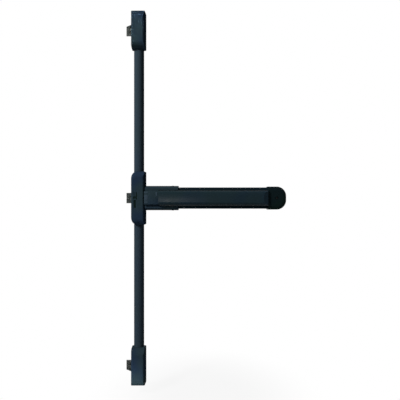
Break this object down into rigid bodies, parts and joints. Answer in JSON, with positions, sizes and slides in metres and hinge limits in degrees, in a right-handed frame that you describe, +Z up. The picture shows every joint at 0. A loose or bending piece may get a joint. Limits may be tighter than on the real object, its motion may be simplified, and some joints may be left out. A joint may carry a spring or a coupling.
{
  "type": "panic exit lock",
  "caption": "Panic exit lock: a push bar in a rail draws a centre latch and, through covered vertical rods, a top and a bottom latch.",
  "frame": {"origin": "on the door's face, where the axis of the vertical rods meets the bar's mid height, at the back of the centre base plate", "axes": "+X along the bar, away from the latches; +Y into the door; +Z up along the rods"},
  "size_m": [0.65, 0.066, 1.5202],
  "materials": {
    "case_paint": "dark blue-grey powder coat, semi-gloss",
    "rail_paint": "dark powder coat on the extruded rail",
    "pad_paint": "dark powder coat, semi-gloss",
    "cap_plastic": "black moulded plastic, fine grain",
    "guide_plastic": "black nylon",
    "latch_metal": "dark cast steel, ground faces",
    "plate_steel": "zinc plated pressed steel",
    "dark_steel": "black phosphated pressed steel",
    "cast_zinc": "as cast",
    "rod_steel": "drawn steel rod, zinc plated",
    "spring_steel": "spring wire",
    "screw_black": "black coated screws"
  },
  "bodies": {
    "root": {"bar_base_plate": "plate_steel", "bar_bracket": "case_paint", "case_cover_screws": "screw_black", "centre_base_plate": "plate_steel", "centre_cover": "case_paint", "centre_latch_guide": "cast_zinc", "centre_latch_springs": "spring_steel", "crank_pivot_pins": "rod_steel", "end_bracket": "plate_steel", "end_cap": "cap_plastic", "end_cap_screw": "screw_black", "front_block": "case_paint", "inner_pivot_bracket": "plate_steel", "lower_base_plate": "plate_steel", "lower_cover": "case_paint", "lower_latch_guide": "cast_zinc", "lower_latch_springs": "spring_steel", "lower_rod_cover": "case_paint", "lower_rod_guides": "guide_plastic", "outer_pivot_bracket": "plate_steel", "pad_return_springs": "spring_steel", "rail": "rail_paint", "rail_screws": "screw_black", "spring_posts": "plate_steel", "upper_base_plate": "plate_steel", "upper_cover": "case_paint", "upper_latch_guide": "cast_zinc", "upper_latch_springs": "spring_steel", "upper_rod_cover": "case_paint", "upper_rod_guides": "guide_plastic"},
    "pad": {"push_pad": "pad_paint", "inner_pad_end": "pad_paint", "outer_pad_end": "pad_paint", "inner_pad_bracket": "plate_steel", "outer_pad_bracket": "plate_steel"},
    "drive": {"drive_slide": "dark_steel", "latch_drive_pin": "rod_steel", "pull_bar": "dark_steel", "pull_bar_rivets": "rod_steel"},
    "centre_latch": {"centre_latch_bolt": "latch_metal", "deadlatch_spring": "spring_steel"},
    "deadlatch": {"deadlatch_tongue": "latch_metal"},
    "inner_bell_crank": {"inner_crank": "cast_zinc", "inner_crank_pins": "rod_steel"},
    "outer_bell_crank": {"outer_crank": "cast_zinc", "outer_crank_pins": "rod_steel"},
    "upper_rod_set": {"upper_rod": "rod_steel", "upper_rod_block": "dark_steel", "upper_rod_pin": "rod_steel", "upper_rod_head": "dark_steel", "upper_cam_plate": "dark_steel"},
    "upper_latch": {"upper_latch_bolt": "latch_metal", "upper_latch_pin": "rod_steel"},
    "lower_rod_set": {"lower_rod": "rod_steel", "lower_rod_block": "dark_steel", "lower_rod_pin": "rod_steel", "lower_rod_head": "dark_steel", "lower_cam_plate": "dark_steel"},
    "lower_latch": {"lower_latch_bolt": "latch_metal", "lower_latch_pin": "rod_steel"}
  },
  "joints": [
    {"name": "pad_press", "type": "slide", "parent": "root", "child": "pad", "axis": [0, 1, 0], "range_m": [0, 0.019], "stiffness_N_per_m": 1200, "springref_m": -0.015, "deforming": ["pad_return_springs"]},
    {"name": "slide_pull", "type": "slide", "parent": "root", "child": "drive", "axis": [1, 0, 0], "range_m": [0, 0.019]},
    {"name": "centre_latch_draw", "type": "slide", "parent": "root", "child": "centre_latch", "axis": [1, 0, 0], "range_m": [0, 0.019], "deforming": ["centre_latch_springs"]},
    {"name": "deadlatch_press", "type": "slide", "parent": "centre_latch", "child": "deadlatch", "axis": [1, 0, 0], "range_m": [0, 0.014], "stiffness_N_per_m": 150, "springref_m": -0.008, "deforming": ["deadlatch_spring"]},
    {"name": "upper_rod_draw", "type": "slide", "parent": "root", "child": "upper_rod_set", "axis": [0, 0, -1], "range_m": [0, 0.019]},
    {"name": "lower_rod_draw", "type": "slide", "parent": "root", "child": "lower_rod_set", "axis": [0, 0, 1], "range_m": [0, 0.019]},
    {"name": "upper_latch_draw", "type": "slide", "parent": "root", "child": "upper_latch", "axis": [1, 0, 0], "range_m": [0, 0.019], "deforming": ["upper_latch_springs"]},
    {"name": "lower_latch_draw", "type": "slide", "parent": "root", "child": "lower_latch", "axis": [1, 0, 0], "range_m": [0, 0.019], "deforming": ["lower_latch_springs"]},
    {"name": "inner_crank_turn", "type": "hinge", "parent": "root", "child": "inner_bell_crank", "pos_m": [0.215, -0.0365, 0], "axis": [0, 0, 1], "range_deg": [-45, 0]},
    {"name": "outer_crank_turn", "type": "hinge", "parent": "root", "child": "outer_bell_crank", "pos_m": [0.47, -0.0365, 0], "axis": [0, 0, 1], "range_deg": [-45, 0]}
  ],
  "couplings": [
    {"joint": "slide_pull", "follows": "pad_press", "ratio": 1},
    {"joint": "centre_latch_draw", "follows": "pad_press", "ratio": 1},
    {"joint": "upper_rod_draw", "follows": "pad_press", "ratio": 1},
    {"joint": "lower_rod_draw", "follows": "pad_press", "ratio": 1},
    {"joint": "upper_latch_draw", "follows": "pad_press", "ratio": 1},
    {"joint": "lower_latch_draw", "follows": "pad_press", "ratio": 1},
    {"joint": "inner_crank_turn", "follows": "pad_press", "rad_per_m": -41.031},
    {"joint": "outer_crank_turn", "follows": "pad_press", "rad_per_m": -41.031}
  ]
}
